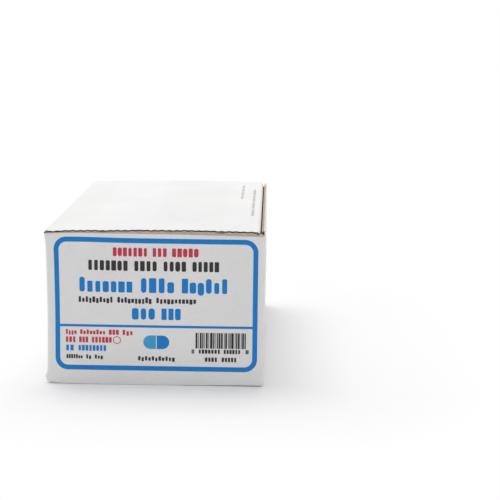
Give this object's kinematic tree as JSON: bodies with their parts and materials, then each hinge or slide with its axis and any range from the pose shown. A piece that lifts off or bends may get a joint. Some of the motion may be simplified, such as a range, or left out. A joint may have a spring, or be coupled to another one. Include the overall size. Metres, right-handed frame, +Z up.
{
  "type": "medicine box",
  "caption": "White corrugated tuck-end medicine carton with a blue label frame and a hinged lid, holding a stack of blister cards of round tablets.",
  "frame": {"origin": "middle of the carton's underside", "axes": "+Z up, the printed front faces -Y, +Y runs from front to back, the lid hinges on the left (-X) wall"},
  "size_m": [0.089, 0.1461, 0.0647],
  "materials": {
    "white_board": "white lined corrugated board, satin",
    "blue_ink": "printed",
    "red_ink": "printed",
    "black_ink": "printed",
    "grey_ink": "printed",
    "clear_film": "clear, formed",
    "lidding_foil": "embossed foil",
    "tablet": "pressed powder, matte"
  },
  "bodies": {
    "carton": {"carton": "white_board", "print_blue": "blue_ink", "print_red": "red_ink", "print_black": "black_ink", "film_1": "clear_film", "foil_1": "lidding_foil", "tablets_1": "tablet", "film_2": "clear_film", "foil_2": "lidding_foil", "tablets_2": "tablet", "film_3": "clear_film", "foil_3": "lidding_foil", "tablets_3": "tablet", "film_4": "clear_film", "foil_4": "lidding_foil", "tablets_4": "tablet", "film_5": "clear_film", "foil_5": "lidding_foil", "tablets_5": "tablet", "film_6": "clear_film", "foil_6": "lidding_foil", "tablets_6": "tablet"},
    "lid": {"lid": "white_board", "print_lid": "grey_ink"}
  },
  "joints": [
    {"name": "lid_hinge", "type": "hinge", "parent": "carton", "child": "lid", "pos_m": [-0.044, 0, 0.0641], "axis": [0, -1, 0], "range_deg": [0, 180]}
  ]
}
